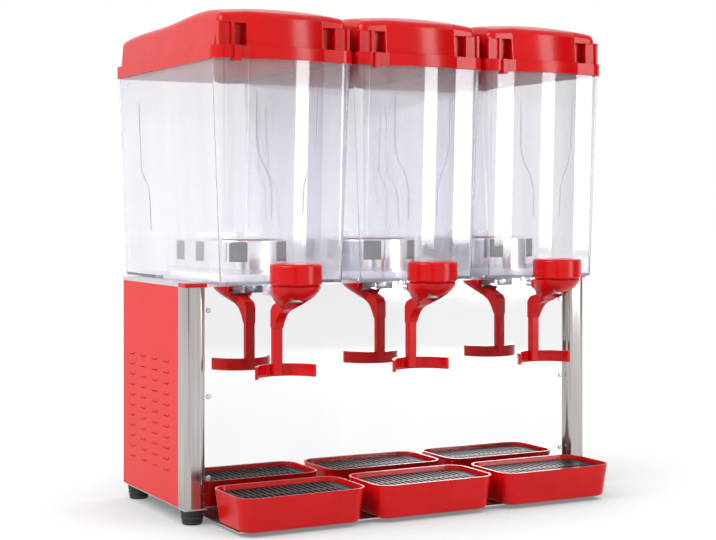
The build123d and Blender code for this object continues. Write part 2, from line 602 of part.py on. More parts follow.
def roof_section(x, drop):
    """Side outline of the lid's roof at x: rising from the back to the front and falling to the brow."""
    back = (x, TANK_BACK_Y + 20, TANK_RIM_Z + LID_BACK_H - 4 - drop)
    brow = (x, TANK_FRONT_Y - 2 * BULGE_DEPTH, TANK_RIM_Z + LID_BROW_H - drop)
    ridge = [
        back, (x, TANK_BACK_Y - 22, TANK_RIM_Z + LID_BACK_H - drop),
        (x, (TANK_BACK_Y + TANK_FRONT_Y) / 2, TANK_RIM_Z + (LID_BACK_H + LID_FRONT_H) / 2 - drop),
        (x, TANK_FRONT_Y + 63, TANK_RIM_Z + LID_FRONT_H - drop),
        (x, TANK_FRONT_Y + 18, TANK_RIM_Z + LID_FRONT_H - 6.5 - drop), brow,
    ]
    low = TANK_RIM_Z - 2 * LID_LAP
    sides = Polyline(brow, (x, brow[1], low), (x, back[1], low), back)
    top = Spline(*ridge, tangents=((0, -1, 0.05), (0, -1, -0.5)))
    return make_face(list(sides.edges()) + [top])


def lid_roof(x, drop):
    """Solid whose top is the lid's roof, higher along the middle than at the two sides."""
    reach = TANK_HALF_W + 20
    return loft([roof_section(x - reach, drop + LID_CROWN), roof_section(x, drop), roof_section(x + reach, drop + LID_CROWN)])


# Lids: flanged covers with a hollow crown, a notch each side of the bulged front, and a front clip.
for i, x in enumerate(TANK_XS, 1):
    flange_top = LID_SKIRT_Z + LID_FLANGE_H
    loft_top = TANK_RIM_Z + LID_FRONT_H + 15
    wide = LID_OUT - LID_INSET
    crown = loft([tank_plan(x, flange_top, wide), tank_plan(x, loft_top, wide - LID_TAPER)]) & lid_roof(x, 0.0)
    crown = fillet([e for e in crown.edges() if e.center().Z > TANK_RIM_Z + LID_BROW_H / 2 + 10], LID_ROUND)
    lid = extrude(tank_plan(x, LID_SKIRT_Z, LID_OUT), amount=LID_FLANGE_H, dir=(0, 0, 1)) + crown
    lid -= extrude(tank_plan(x, LID_SKIRT_Z - 1, LID_FIT), amount=LID_LAP + 1, dir=(0, 0, 1))
    inner = wide - LID_SHELL
    cavity = loft([tank_plan(x, TANK_RIM_Z, inner), tank_plan(x, loft_top, inner - LID_TAPER)])
    cavity &= lid_roof(x, LID_ROOF_T)
    notch_z = flange_top + 0.5
    notch_top = TANK_RIM_Z + LID_FRONT_H - LID_CROWN - NOTCH_BAND
    notch_y = TANK_FRONT_Y + NOTCH_D
    outside = TANK_HALF_W + LID_OUT + 5
    for side in (-1, 1):
        near, far = sorted((side * (BULGE_HALF + 2), side * outside))
        skin = LID_SHELL
        cavity -= block(x + near - skin, x + far + skin, TANK_FRONT_Y - 40, notch_y + skin, TANK_RIM_Z - 1, loft_top)
        lid -= block(x + near, x + far, TANK_FRONT_Y - 40, notch_y, notch_z, notch_top)
        for k in range(2):
            low_x, high_x = sorted(side * (TANK_HALF_W - 5 - k * RIB_STEP - t) for t in (0, RIB_T))
            lid += block(x + low_x, x + high_x, TANK_FRONT_Y + 5, notch_y + 1, notch_z - 1, notch_top + 1)
        low_x, high_x = sorted(side * (TANK_HALF_W - 5 - t) for t in (RIB_T / 2, RIB_STEP + RIB_T / 2))
        lid += block(x + low_x, x + high_x, TANK_FRONT_Y + NOTCH_SHALLOW, notch_y + 1, notch_z - 1, notch_top + 1)
    lid -= cavity
    clip_x = x - TANK_HALF_W + 23
    clip_y = TANK_FRONT_Y - LID_OUT
    lid += block(clip_x, clip_x + CLIP_W, clip_y - CLIP_T, clip_y, LID_SKIRT_Z - CLIP_DROP, flange_top)
    save(lid, f"lid_{i}")


def tray_plan(x, z, inset):
    """Plan of a drip tray at height z."""
    plan = RectangleRounded(2 * (TRAY_HALF_W - inset), TRAY_DEPTH - 2 * inset, max(TRAY_R - inset, 3.0))
    return Pos(x, TRAY_MID_Y, z) * plan


# Drip trays: drafted basins with four pegs that carry the grille.
PEG_X = TRAY_HALF_W - 23
PEG_Y = TRAY_DEPTH / 2 - 24
for i, x in enumerate(TRAY_XS, 1):
    tray = loft([tray_plan(x, TRAY_Z, TRAY_DRAFT), tray_plan(x, TRAY_TOP_Z, 0.0)])
    tray = fillet(tray.faces().sort_by(Axis.Z)[0].edges(), 2 * TRAY_WALL)
    tray -= loft(
        [tray_plan(x, TRAY_Z + TRAY_WALL, TRAY_DRAFT + TRAY_WALL), tray_plan(x, TRAY_TOP_Z + 0.01, TRAY_WALL)]
    )
    for px in (-PEG_X, PEG_X):
        for py in (-PEG_Y, PEG_Y):
            tray += rod(x + px, TRAY_MID_Y + py, TRAY_Z + TRAY_WALL / 2, GRILLE_Z, PEG_R)
    save(tray, f"drip_tray_{i}")

# Grilles: slotted stainless plates lying in the trays.
for i, x in enumerate(TRAY_XS, 1):
    draft = TRAY_DRAFT * GRILLE_DROP / TRAY_H
    inset = TRAY_WALL + draft + GRILLE_GAP
    plate = extrude(tray_plan(x, GRILLE_Z, inset), amount=GRILLE_T, dir=(0, 0, 1))
    slot_l = (TRAY_DEPTH - 2 * inset) / 2 - 8
    reach = int((TRAY_HALF_W - inset - 12) / GRILLE_SLOT_STEP)
    slots = []
    for column in range(-reach, reach + 1):
        for row in (-1, 1):
            middle = Pos(x + column * GRILLE_SLOT_STEP, TRAY_MID_Y + row * (slot_l / 2 + 2.5), GRILLE_Z - 1)
            hole = middle * Rot(0, 0, 90) * SlotOverall(slot_l, GRILLE_SLOT_W)
            slots.append(extrude(hole, amount=GRILLE_T + 2, dir=(0, 0, 1)))
    save(plate - slots, f"tray_grille_{i}")

# Compressor: welded pot on four rubber mounts.
pot_z = PAN_TOP_Z + MOUNT_H
plate_x = COMPRESSOR_R + 18
plate_y = COMPRESSOR_R - 2
pot = rod(COMPRESSOR_X, COMPRESSOR_Y, pot_z + 4, pot_z + COMPRESSOR_H, COMPRESSOR_R)
pot = fillet(pot.edges().filter_by(GeomType.CIRCLE).sort_by(Axis.Z)[-1], COMPRESSOR_R / 2)
pot += block(
    COMPRESSOR_X - plate_x, COMPRESSOR_X + plate_x, COMPRESSOR_Y - plate_y, COMPRESSOR_Y + plate_y, pot_z, pot_z + 4
)
pipe_z = pot_z + 0.4 * COMPRESSOR_H
stub_x = COMPRESSOR_X - COMPRESSOR_R - 14
pot += rod_x(stub_x, COMPRESSOR_X - COMPRESSOR_R + 4, COMPRESSOR_Y, pipe_z, PIPE_R + 2.5)
save(pot, "compressor")
mounts = []
for mx in (-plate_x + 14, plate_x - 14):
    for my in (-plate_y + 12, plate_y - 12):
        mounts.append(rod(COMPRESSOR_X + mx, COMPRESSOR_Y + my, PAN_TOP_Z, pot_z, MOUNT_R))
save(mounts, "compressor_mounts")

# Condenser: finned block behind the left air slots, with its tubes passing through the fins.
fin_start = POST_BACK_Y + 36
fins = None
for k in range(FIN_COUNT):
    y = fin_start + k * FIN_STEP
    fin = block(CONDENSER_X, CONDENSER_X + CONDENSER_T, y, y + FIN_T, PAN_TOP_Z, DECK_Z - 47)
    fins = fin if fins is None else fins + fin
tube_x = CONDENSER_X + CONDENSER_T / 2
for z in [pipe_z + k * 40 for k in range(-1, 5)]:
    fins += rod_y(tube_x, fin_start - 8, fin_start + FIN_COUNT * FIN_STEP, z, PIPE_R + 0.5)
save(fins, "condenser")

# Fan motor on a bracket, and the fan that draws air through the condenser.
bracket = block(FAN_X + 20, FAN_X + 60, FAN_Y - 25, FAN_Y + 25, PAN_TOP_Z, PAN_TOP_Z + 3)
bracket += block(FAN_X + 36, FAN_X + 40, FAN_Y - 25, FAN_Y + 25, PAN_TOP_Z, FAN_Z + 25)
bracket += rod_x(FAN_X + 14, FAN_X + 62, FAN_Y, FAN_Z, FAN_MOTOR_R)
bracket -= rod_x(FAN_X + 10, FAN_X + 40, FAN_Y, FAN_Z, SHAFT_R + RUNNING)
save(bracket, "fan_motor")
fan = rod_x(FAN_X - 6, FAN_X + 12, FAN_Y, FAN_Z, FAN_MOTOR_R - 6)
fan += rod_x(FAN_X + 11, FAN_X + 39, FAN_Y, FAN_Z, SHAFT_R)
for k in range(5):
    blade = Rot(0, 0, 28) * Box(3, 34, FAN_R - 14, align=(Align.CENTER, Align.CENTER, Align.MIN))
    fan += Pos(FAN_X + 3, FAN_Y, FAN_Z) * Rot(k * 72, 0, 0) * Pos(0, 0, 14) * blade
save(fan, "fan")

# Refrigerant pipe from the compressor's stub to one of the condenser's tubes.
turn_x = stub_x - 54
route = FilletPolyline(
    (stub_x, COMPRESSOR_Y, pipe_z), (turn_x, COMPRESSOR_Y, pipe_z), (turn_x, fin_start - 25, pipe_z),
    (tube_x, fin_start - 25, pipe_z), (tube_x, fin_start - 8, pipe_z), radius=PIPE_BEND,
)
pipe = sweep(Plane(origin=route @ 0, z_dir=route % 0) * Circle(PIPE_R), path=route)
save(pipe, "refrigerant_pipe")

# Rear controls: rocker switches in their frames, thermostat with its knob, and the power inlet gland.
ROCKER_AXIS_Y = CABINET_BACK_Y - 4
frames = []
for i, x in enumerate(SWITCH_XS, 1):
    wide = SWITCH_HALF_W + 2.5
    tall = SWITCH_HALF_H + 2.5
    frame = block(x - wide, x + wide, REAR_Y - 20.5, REAR_Y, CONTROL_Z - tall, CONTROL_Z + tall)
    frame -= block(
        x - SWITCH_HALF_W, x + SWITCH_HALF_W, REAR_Y - 15.5, REAR_Y + 1,
        CONTROL_Z - SWITCH_HALF_H, CONTROL_Z + SWITCH_HALF_H,
    )
    frame += rod_x(x - SWITCH_HALF_W - 0.5, x + SWITCH_HALF_W + 0.5, ROCKER_AXIS_Y, CONTROL_Z, 1.5)
    frames.append(frame)
    rocker = block(
        x - SWITCH_HALF_W + 0.5, x + SWITCH_HALF_W - 0.5, REAR_Y - 8.5, CABINET_BACK_Y + 4,
        CONTROL_Z - SWITCH_HALF_H + 1.5, CONTROL_Z + SWITCH_HALF_H - 1.5,
    )
    rocker -= rod_x(x - SWITCH_HALF_W, x + SWITCH_HALF_W, ROCKER_AXIS_Y, CONTROL_Z, 1.5 + RUNNING)
    save(rocker, f"rocker_switch_{i}")
save(frames, "switch_frames")
knob = rod_y(KNOB_X, CABINET_BACK_Y + 1, CABINET_BACK_Y + 17, CONTROL_Z, KNOB_R)
knob += rod_y(KNOB_X, REAR_Y - 18.5, CABINET_BACK_Y + 2, CONTROL_Z, SPINDLE_R)
save(knob, "thermostat_knob")
thermostat = block(KNOB_X - 20, KNOB_X + 20, REAR_Y - 38.5, REAR_Y, CONTROL_Z - 16, CONTROL_Z + 16)
thermostat -= rod_y(KNOB_X, REAR_Y - 19.5, REAR_Y + 1, CONTROL_Z, SPINDLE_R + RUNNING)
save(thermostat, "thermostat")
gland = rod_y(GLAND_X, CABINET_BACK_Y - 12, CABINET_BACK_Y + 8, GLAND_Z, GLAND_R)
gland += rod_y(GLAND_X, CABINET_BACK_Y, CABINET_BACK_Y + 4, GLAND_Z, GLAND_R + 4)
gland -= rod_y(GLAND_X, CABINET_BACK_Y - 13, CABINET_BACK_Y + 9, GLAND_Z, GLAND_BORE_R)
save(gland, "power_gland")
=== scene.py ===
import bpy
import bmesh
import math
from mathutils import Matrix, Vector


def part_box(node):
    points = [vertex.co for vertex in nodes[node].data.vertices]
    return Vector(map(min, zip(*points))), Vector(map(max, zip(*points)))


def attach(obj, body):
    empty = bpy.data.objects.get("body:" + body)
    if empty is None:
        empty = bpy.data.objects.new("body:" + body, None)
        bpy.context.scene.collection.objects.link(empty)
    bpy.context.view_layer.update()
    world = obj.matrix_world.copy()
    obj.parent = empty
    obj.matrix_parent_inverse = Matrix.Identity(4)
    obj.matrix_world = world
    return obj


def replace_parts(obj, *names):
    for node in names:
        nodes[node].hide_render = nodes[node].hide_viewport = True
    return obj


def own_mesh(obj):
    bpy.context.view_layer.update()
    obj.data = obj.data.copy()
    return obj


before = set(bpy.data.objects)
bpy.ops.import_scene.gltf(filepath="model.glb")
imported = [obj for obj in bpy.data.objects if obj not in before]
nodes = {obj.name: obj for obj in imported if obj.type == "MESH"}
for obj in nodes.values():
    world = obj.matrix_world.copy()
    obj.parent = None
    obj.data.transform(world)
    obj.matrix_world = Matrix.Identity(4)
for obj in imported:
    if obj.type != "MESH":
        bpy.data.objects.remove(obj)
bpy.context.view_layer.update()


# Base pan: a shallow galvanised tray, folded from sheet, with an ear under each post. Everything in the
# cabinet is screwed to it. Hot-dip zinc shows as pale grey flakes a few millimetres across.
def finish(name, dark, light, rough, broad, fine, bump, stretch=(1, 1, 1), metallic=0.0, edge=0.0, shine=0.5):
    """Principled finish. A broad noise drifts the colour between dark and light. A fine noise drifts the
    roughness between its two ends and bumps the surface. Stretch scales both noises along the axes, edge
    rounds sharp corners by that radius, and shine is the strength of the clear reflection."""
    mat = bpy.data.materials.new(name)
    mat.use_nodes = True
    tree = mat.node_tree
    shader = tree.nodes["Principled BSDF"]
    shader.inputs["Metallic"].default_value = metallic
    shader.inputs["Specular IOR Level"].default_value = shine
    coords = tree.nodes.new("ShaderNodeTexCoord")
    place = tree.nodes.new("ShaderNodeMapping")
    place.inputs["Scale"].default_value = stretch
    tree.links.new(coords.outputs["Object"], place.inputs["Vector"])
    cloud = tree.nodes.new("ShaderNodeTexNoise")
    cloud.inputs["Scale"].default_value = broad
    cloud.inputs["Detail"].default_value = 3.0
    tree.links.new(place.outputs["Vector"], cloud.inputs["Vector"])
    tint = tree.nodes.new("ShaderNodeValToRGB")
    tint.color_ramp.elements[0].position = 0.3
    tint.color_ramp.elements[0].color = (*dark, 1)
    tint.color_ramp.elements[1].position = 0.7
    tint.color_ramp.elements[1].color = (*light, 1)
    tree.links.new(cloud.outputs["Fac"], tint.inputs["Fac"])
    tree.links.new(tint.outputs["Color"], shader.inputs["Base Color"])
    grain = tree.nodes.new("ShaderNodeTexNoise")
    grain.inputs["Scale"].default_value = fine
    grain.inputs["Detail"].default_value = 2.0
    tree.links.new(place.outputs["Vector"], grain.inputs["Vector"])
    sheen = tree.nodes.new("ShaderNodeMapRange")
    sheen.inputs["To Min"].default_value = rough[0]
    sheen.inputs["To Max"].default_value = rough[1]
    tree.links.new(grain.outputs["Fac"], sheen.inputs["Value"])
    tree.links.new(sheen.outputs["Result"], shader.inputs["Roughness"])
    relief = tree.nodes.new("ShaderNodeBump")
    relief.inputs["Strength"].default_value = bump
    relief.inputs["Distance"].default_value = 0.0003
    tree.links.new(grain.outputs["Fac"], relief.inputs["Height"])
    tree.links.new(relief.outputs["Normal"], shader.inputs["Normal"])
    if edge:
        round_edge = tree.nodes.new("ShaderNodeBevel")
        round_edge.samples = 4
        round_edge.inputs["Radius"].default_value = edge
        tree.links.new(round_edge.outputs["Normal"], relief.inputs["Normal"])
    return mat


def dress(material, *names):
    """Gives CAD nodes their finish."""
    for name in names:
        nodes[name].data.materials.clear()
        nodes[name].data.materials.append(material)


galvanised = finish(
    "galvanised_sheet", dark=(0.46, 0.47, 0.48), light=(0.62, 0.63, 0.64), rough=(0.3, 0.5),
    broad=160, fine=420, bump=0.05, metallic=0.9,
)
dress(galvanised, "base_pan")


# Feet: four black rubber feet moulded with shallow rings, each held under a corner of the pan by one bolt.
# The rubber is matte, with a dusty bloom on the rings.
def piece(name, bm, material, body, sharp=35):
    """Closes a bmesh into a piece that rides on a body and takes the given finish.
    Edges that turn by more than sharp degrees stay crisp."""
    bmesh.ops.remove_doubles(bm, verts=bm.verts, dist=1e-6)
    bmesh.ops.recalc_face_normals(bm, faces=bm.faces)
    mesh = bpy.data.meshes.new(name)
    bm.to_mesh(mesh)
    bm.free()
    mesh.shade_smooth()
    mesh.set_sharp_from_angle(angle=math.radians(sharp))
    mesh.materials.append(material)
    obj = bpy.data.objects.new(name, mesh)
    bpy.context.scene.collection.objects.link(obj)
    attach(obj, body)
    return obj


def turned(bm, profile, centre, axis=(0, 0, 1), steps=32):
    """Spins a profile of (radius, height) points about an axis through centre."""
    tilt = Vector((0, 0, 1)).rotation_difference(Vector(axis)).to_matrix()
    verts = [bm.verts.new(Vector(centre) + tilt @ Vector((radius, 0, height))) for radius, height in profile]
    edges = [bm.edges.new(pair) for pair in zip(verts, verts[1:])]
    bmesh.ops.spin(
        bm, geom=verts + edges, cent=centre, axis=axis, angle=2 * math.pi, steps=steps, use_merge=True
    )


rubber = finish(
    "foot_rubber", dark=(0.012, 0.012, 0.013), light=(0.03, 0.03, 0.031), rough=(0.5, 0.75),
    broad=120, fine=900, bump=0.12,
)
foot_xs, foot_ys = (-0.308, 0.308), (-0.0845, 0.123)
foot_profile = [
    (0, 0), (0.0118, 0), (0.0136, 0.0016),
    (0.0142, 0.005), (0.0134, 0.0056), (0.0134, 0.0068), (0.0146, 0.0074),
    (0.015, 0.0115), (0.0141, 0.0121), (0.0141, 0.0133), (0.0153, 0.0139),
    (0.0158, 0.0192), (0.0153, 0.02), (0, 0.02),
]
bm = bmesh.new()
for x in foot_xs:
    for y in foot_ys:
        turned(bm, foot_profile, (x, y, 0))
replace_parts(piece("rubber_feet", bm, rubber, "cabinet"), "feet")

# Cooling plant: a welded black compressor on four rubber mounts, an aluminium condenser, a fan on its motor
# bracket and the copper line between them. It shows only through the vents.
black_enamel = finish(
    "compressor_enamel", dark=(0.01, 0.01, 0.011), light=(0.022, 0.022, 0.024), rough=(0.25, 0.4),
    broad=60, fine=500, bump=0.08,
)
fin_aluminium = finish(
    "fin_aluminium", dark=(0.6, 0.61, 0.62), light=(0.72, 0.73, 0.74), rough=(0.3, 0.45),
    broad=90, fine=700, bump=0.05, metallic=1.0,
)
fan_grey = finish(
    "fan_plastic", dark=(0.1, 0.105, 0.11), light=(0.14, 0.145, 0.15), rough=(0.4, 0.55),
    broad=80, fine=900, bump=0.05,
)
copper = finish(
    "drawn_copper", dark=(0.5, 0.2, 0.1), light=(0.68, 0.33, 0.18), rough=(0.25, 0.45),
    broad=50, fine=600, bump=0.05, metallic=1.0,
)
dress(black_enamel, "compressor", "fan_motor", "stirrer_motors")
dress(rubber, "compressor_mounts")
dress(fin_aluminium, "condenser")
dress(fan_grey, "fan")
dress(copper, "refrigerant_pipe", "evaporators")

# Posts: two rounded stainless tubes at the front corners, brushed along their length.
# They stand on the pan's ears and carry the deck.
brushed_upright = finish(
    "stainless_brushed_upright", dark=(0.38, 0.355, 0.34), light=(0.48, 0.455, 0.44), rough=(0.1, 0.22),
    broad=260, fine=900, bump=0.05, stretch=(1, 1, 0.02), metallic=1.0,
)
dress(brushed_upright, "post_left", "post_right")

# Front panel: one mirror-polished stainless sheet between the posts. Polishing leaves faint hairlines
# and the sheet is never quite flat, so what it shows wavers a little.
mirror = finish(
    "mirror_sheet", dark=(0.8, 0.8, 0.81), light=(0.86, 0.86, 0.865), rough=(0.02, 0.055),
    broad=5, fine=30, bump=0.02, stretch=(1, 1, 0.4), metallic=1.0,
)
dress(mirror, "front_panel")

# Side panels: steel sheet with four columns of pressed air slots, powder-coated gloss red.
# The baked powder leaves a fine orange peel.
red_powder = finish(
    "red_powder_coat", dark=(0.66, 0.012, 0.011), light=(0.7, 0.016, 0.014), rough=(0.32, 0.44),
    broad=14, fine=650, bump=0.14, edge=0.0008, shine=0.2,
)
dress(red_powder, "side_panel_left", "side_panel_right")

# Corner caps: red end plugs, pressed into the tops of the posts level with the deck. They are moulded in
# the same glossy plastic as the lids, taps and trays, with a trace of flow in the colour.
red_plastic = finish(
    "red_moulded_plastic", dark=(0.56, 0.002, 0.003), light=(0.62, 0.004, 0.005), rough=(0.18, 0.26),
    broad=26, fine=480, bump=0.02, edge=0.0009, shine=0.24,
)
dress(red_plastic, "corner_caps")

# Rear panel and its controls: a vented stainless sheet with two rocker switches, a thermostat with its
# knob and a gland for the mains lead. The moulded parts are matte black, and the thermostat's box is grey.
# White print marks the dial's steps, the knob's pointer and the rockers' two ends.
brushed_across = finish(
    "stainless_brushed_across", dark=(0.6, 0.6, 0.61), light=(0.72, 0.72, 0.73), rough=(0.2, 0.36),
    broad=240, fine=800, bump=0.06, stretch=(0.02, 1, 1), metallic=1.0,
)
black_plastic = finish(
    "black_moulded_plastic", dark=(0.014, 0.014, 0.015), light=(0.028, 0.028, 0.03), rough=(0.35, 0.5),
    broad=90, fine=1200, bump=0.1, edge=0.0006,
)
white_print = finish(
    "white_print", dark=(0.72, 0.72, 0.7), light=(0.82, 0.82, 0.8), rough=(0.5, 0.65),
    broad=300, fine=1500, bump=0.03,
)
dress(brushed_across, "rear_panel")
dress(black_plastic, "switch_frames", "rocker_switch_1", "rocker_switch_2", "thermostat_knob", "power_gland")
dress(fan_grey, "thermostat")
control_z, knob_x, rocker_xs = 0.25, 0.11, (0.21, 0.255)
panel_face = 0.1415
rocker_face, knob_face = panel_face + 0.004, panel_face + 0.0171
dial_radius, dial_start, dial_step = 0.0195, -135, 30
mark_reach = 0.0055


def print_bar(bm, origin, reach, size, degrees=0):
    """A thin printed bar with its middle at reach above origin, turned about origin in the panel's plane."""
    place = Matrix.Translation(origin) @ Matrix.Rotation(math.radians(degrees), 4, "Y")
    place = place @ Matrix.Translation((0, 0, reach)) @ Matrix.Diagonal((*size, 1))
    bmesh.ops.create_cube(bm, size=1, matrix=place)


bm = bmesh.new()
for step in range(10):
    length = 0.005 if step % 3 == 0 else 0.0032
    print_bar(
        bm, (knob_x, panel_face + 0.0002, control_z), reach=dial_radius + length / 2,
        size=(0.001, 0.0004, length), degrees=dial_start + step * dial_step,
    )
piece("dial_marks", bm, white_print, "cabinet")
bm = bmesh.new()
print_bar(bm, (knob_x, knob_face, control_z), reach=0.0095, size=(0.0016, 0.0006, 0.009))
bmesh.ops.bevel(bm, geom=bm.edges[:], offset=0.0001, affect="EDGES", segments=2, profile=0.5, material=-1)
piece("knob_pointer", bm, white_print, "knob")
ring_profile = [(0.0017, 0), (0.0025, 0), (0.0025, 0.0002), (0.0017, 0.0002), (0.0017, 0)]
for number, x in enumerate(rocker_xs, 1):
    bm = bmesh.new()
    print_bar(bm, (x, rocker_face + 0.0001, control_z), reach=mark_reach, size=(0.0009, 0.0004, 0.0045))
    turned(bm, ring_profile, (x, rocker_face, control_z - mark_reach), axis=(0, 1, 0), steps=24)
    piece(f"rocker_mark_{number}", bm, white_print, f"rocker_{number}")

# Panel screws: pan-head stainless screws with a cross recess, three down each edge of the front panel and
# of the rear panel. Each stands a little turned, as the driver left it.
screw_steel = finish(
    "screw_steel", dark=(0.55, 0.55, 0.56), light=(0.7, 0.7, 0.71), rough=(0.2, 0.35),
    broad=300, fine=1500, bump=0.05, metallic=1.0,
)
screw_zs, screw_turn = (0.06, 0.1695, 0.285), math.radians(20)
screw_edges = ((0.287, -0.092, math.radians(90)), (0.3125, 0.1435, math.radians(-90)))
flat_radius, recess_arm, recess_half, recess_depth, recess_taper = 0.0026, 0.0017, 0.0004, 0.0011, 0.8
dome = ((1.22, -0.0004), (1.08, -0.0006), (1.02, -0.001))


def picked(geom, kind):
    """The verts, or the edges, among the geometry that an operator gives back."""
    return [part for part in geom if isinstance(part, kind)]


def cross_head(bm):
    """One domed screw head with a cross recess, at the origin and facing +Z."""
    bmesh.ops.create_circle(bm, cap_ends=True, segments=24, radius=flat_radius)
    for axis in ((1, 0, 0), (0, 1, 0)):
        for cut in (-recess_arm, -recess_half, recess_half, recess_arm):
            geom = bm.verts[:] + bm.edges[:] + bm.faces[:]
            bmesh.ops.bisect_plane(bm, geom=geom, plane_co=Vector(axis) * cut, plane_no=axis)
    rim = [edge for edge in bm.edges if edge.is_boundary]
    cross = []
    for face in bm.faces:
        near, far = sorted(abs(value) for value in face.calc_center_median().xy)
        if near < recess_half and far < recess_arm:
            cross.append(face)
    sunk = bmesh.ops.extrude_face_region(bm, geom=cross)["geom"]
    bmesh.ops.delete(bm, geom=cross, context="FACES_ONLY")
    low = picked(sunk, bmesh.types.BMVert)
    bmesh.ops.translate(bm, vec=(0, 0, -recess_depth), verts=low)
    bmesh.ops.scale(bm, vec=(recess_taper, recess_taper, 1), verts=low)
    for grow, drop in dome:
        skirt = bmesh.ops.extrude_edge_only(bm, edges=rim)["geom"]
        ring = picked(skirt, bmesh.types.BMVert)
        rim = [edge for edge in picked(skirt, bmesh.types.BMEdge) if edge.is_boundary]
        bmesh.ops.scale(bm, vec=(grow, grow, 1), verts=ring)
        bmesh.ops.translate(bm, vec=(0, 0, drop), verts=ring)
    bmesh.ops.holes_fill(bm, edges=rim)


bm = bmesh.new()
cross_head(bm)
head_verts = bm.verts[:]
head = head_verts + bm.edges[:] + bm.faces[:]
for side in (-1, 1):
    for z in screw_zs:
        for x, y, facing in screw_edges:
            turn = Matrix.Rotation(facing, 4, "X") @ Matrix.Rotation(screw_turn, 4, "Z")
            verts = picked(bmesh.ops.duplicate(bm, geom=head)["geom"], bmesh.types.BMVert)
            bmesh.ops.transform(bm, matrix=Matrix.Translation((side * x, y, z)) @ turn, verts=verts)
bmesh.ops.delete(bm, geom=head_verts, context="VERTS")
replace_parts(piece("cross_screws", bm, screw_steel, "cabinet"), "panel_screws")

# Deck and tray shelf: the pale stainless plate that closes the cabinet and carries the tanks,
# and the bent plate under the front that the drip trays stand on.
dress(brushed_across, "deck", "tray_shelf")

# Cooling drums: low polished stainless cups, drawn in one piece, that stand up into the tanks and chill the
# drink. A white silicone collar seals the tank's floor to each. A row of dark pads runs round each drum as
# painted reflection, standing in for the dark streaks that the polished steel reflects.
drum_steel = finish(
    "polished_drum_steel", dark=(0.88, 0.88, 0.89), light=(0.95, 0.95, 0.955), rough=(0.12, 0.24),
    broad=40, fine=500, bump=0.03, stretch=(1, 1, 0.05), metallic=1.0,
)
white_silicone = finish(
    "white_silicone", dark=(0.74, 0.74, 0.73), light=(0.82, 0.82, 0.81), rough=(0.4, 0.55),
    broad=60, fine=900, bump=0.06,
)
dress(drum_steel, "cooling_drum_1", "cooling_drum_2", "cooling_drum_3")
dress(white_silicone, "drum_seals")
tank_xs = (-0.207, 0.0, 0.207)
drum_y, drum_radius, drum_straight = 0.024, 0.06, 0.1
drum_arc = drum_radius * math.pi
half_outline = drum_arc + drum_straight
reflection_pad_count, reflection_pad_offset, reflection_pad_stride, reflection_pad_sink = 8, 0.55, 0.0032, 0.0002
reflection_pad_section = ((0, 0.3485), (0.001, 0.3492), (0.001, 0.3752), (0, 0.3759))


def drum_side(along):
    """Point just under a drum's side and its outward direction, along the outline from the front, with the
    drum's middle at zero."""
    along = (along + drum_arc / 2) % (2 * half_outline)
    flip = -1 if along < half_outline else 1
    along = along % half_outline
    turn = math.pi * min(along, drum_arc) / drum_arc
    out = Vector((flip * math.cos(turn), flip * math.sin(turn), 0))
    middle = Vector((0, flip * (drum_straight / 2 - max(0, along - drum_arc)), 0))
    return middle + (drum_radius - reflection_pad_sink) * out, out


def tube(bm, rings):
    """Skins rings of points, one after the other, and caps both ends."""
    loops = []
    for ring in rings:
        verts = [bm.verts.new(spot) for spot in ring]
        loops.append([bm.edges.new(pair) for pair in zip(verts, verts[1:] + verts[:1])])
    for low, high in zip(loops, loops[1:]):
        bmesh.ops.bridge_loops(bm, edges=low + high)
    for end in (loops[0], loops[-1]):
        bmesh.ops.holes_fill(bm, edges=end)


# Painted reflection: dark pads round each drum stand in for the dark streaks that the polished steel
# reflects.
for i, x in enumerate(tank_xs, 1):
    bm = bmesh.new()
    for reflection_pad in range(reflection_pad_count):
        middle = (reflection_pad + reflection_pad_offset) * 2 * half_outline / reflection_pad_count
        rings = []
        for step in range(-4, 5):
            spot, out = drum_side(middle + step * reflection_pad_stride)
            spot += Vector((x, drum_y, 0))
            rings.append([spot + out * lift + Vector((0, 0, z)) for lift, z in reflection_pad_section])
        tube(bm, rings)
    piece(f"drum_painted_reflection_{i}", bm, rubber, "cabinet")

# Stirrers: white food-grade paddles that spin on the drums, turned through the steel by zinc-plated magnet
# rotors on the motors' shafts. The taps' plungers are of the same white plastic.
white_plastic = finish(
    "white_food_plastic", dark=(0.76, 0.76, 0.75), light=(0.82, 0.82, 0.81), rough=(0.25, 0.38),
    broad=50, fine=700, bump=0.05, edge=0.0006,
)
for i in (1, 2, 3):
    dress(white_plastic, f"stirrer_{i}", f"tap_plunger_{i}")
    dress(galvanised, f"magnet_rotor_{i}")

# Tanks: clear polycarbonate bins, injection moulded with a tap body under the front. The colour drifts in
# faint upright streaks, and raised lines step inward half way down the front and the sides.
# The plastic lets the lamps' light through and is faintly tinted by its depth.
polycarbonate = finish(
    "clear_polycarbonate", dark=(0.91, 0.905, 0.94), light=(0.99, 0.985, 0.995), rough=(0.02, 0.06),
    broad=24, fine=26, bump=0.25, stretch=(1, 1, 0.05),
)
